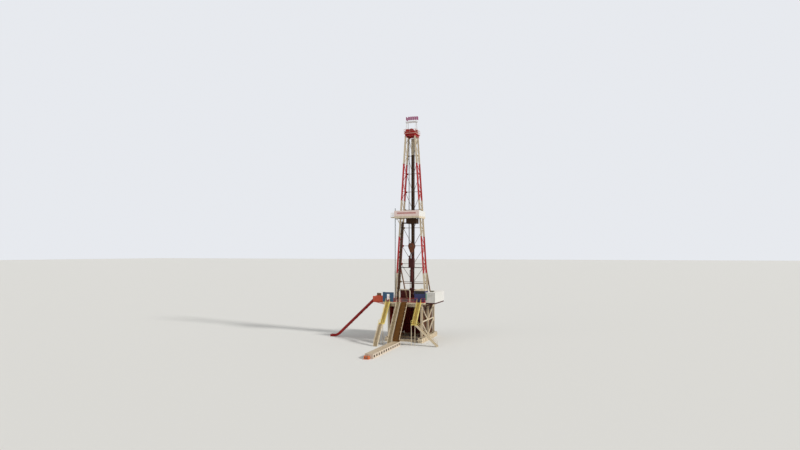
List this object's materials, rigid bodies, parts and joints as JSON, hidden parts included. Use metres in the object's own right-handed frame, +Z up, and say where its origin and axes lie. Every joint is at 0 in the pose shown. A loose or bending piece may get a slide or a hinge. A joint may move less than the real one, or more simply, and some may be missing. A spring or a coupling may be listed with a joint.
{
  "type": "1:2 scale model of an oil drilling rig",
  "caption": "Land drilling rig with a front-open lattice mast, drill floor on a braced substructure, ramp, catwalk, stairs, escape slide, cabins and hoisted travelling gear; 1:2 scale model",
  "frame": {"origin": "on the axis of the rotary table's bore, level with the top of the drill floor plate", "axes": "+Z up along the well's axis, +Y to the rear, away from the catwalk, +X to the right as seen from the catwalk"},
  "size_m": [16.5682, 19.4155, 30.53],
  "materials": {
    "cream": "satin",
    "red": "satin",
    "blue": "satin",
    "yellow": "satin",
    "white": "satin",
    "maroon": "matt",
    "brown": "matt",
    "steel": "weathered",
    "glass": "gloss",
    "flag_cloth": "matt"
  },
  "bodies": {
    "rig": {"base_frame": "cream", "side_frames": "cream", "rear_bracing": "cream", "substructure_screen": "maroon", "floor_girders": "cream", "drill_floor": "maroon", "rotary_table": "steel", "floor_railing": "red", "wind_wall_left": "blue", "rear_wind_wall": "maroon", "v_door_frame": "cream", "driller_cabin": "blue", "window_glass": "glass", "v_door_ramp": "brown", "ramp_stair": "cream", "side_stairs": "yellow", "doghouse_bracket": "maroon", "doghouse": "white", "escape_platform": "red", "escape_slide": "red", "drawworks_frame": "maroon", "drawworks_drum": "steel", "catwalk": "cream", "catwalk_winch": "red", "mast_shoes": "steel", "mast_section_1": "cream", "mast_section_2": "red", "mast_section_3": "cream", "mast_section_4": "red", "mast_section_5": "cream", "mast_back_bracing": "cream", "raking_legs": "cream", "ladder": "white", "monkeyboard": "cream", "finger_bars": "maroon", "monkeyboard_screen": "white", "crown_frame": "red", "crown_sheaves": "red", "crown_railing": "white", "crown_flags": "flag_cloth", "guide_rails": "steel", "drilling_lines": "steel", "fast_line": "steel"},
    "travelling_gear": {"travelling_block": "maroon", "top_drive": "maroon"}
  },
  "joints": [
    {"name": "hoist", "type": "slide", "parent": "rig", "child": "travelling_gear", "axis": [0, 0, 1], "range_m": [-1.3, 12.6], "deforming": ["drilling_lines"]}
  ]
}
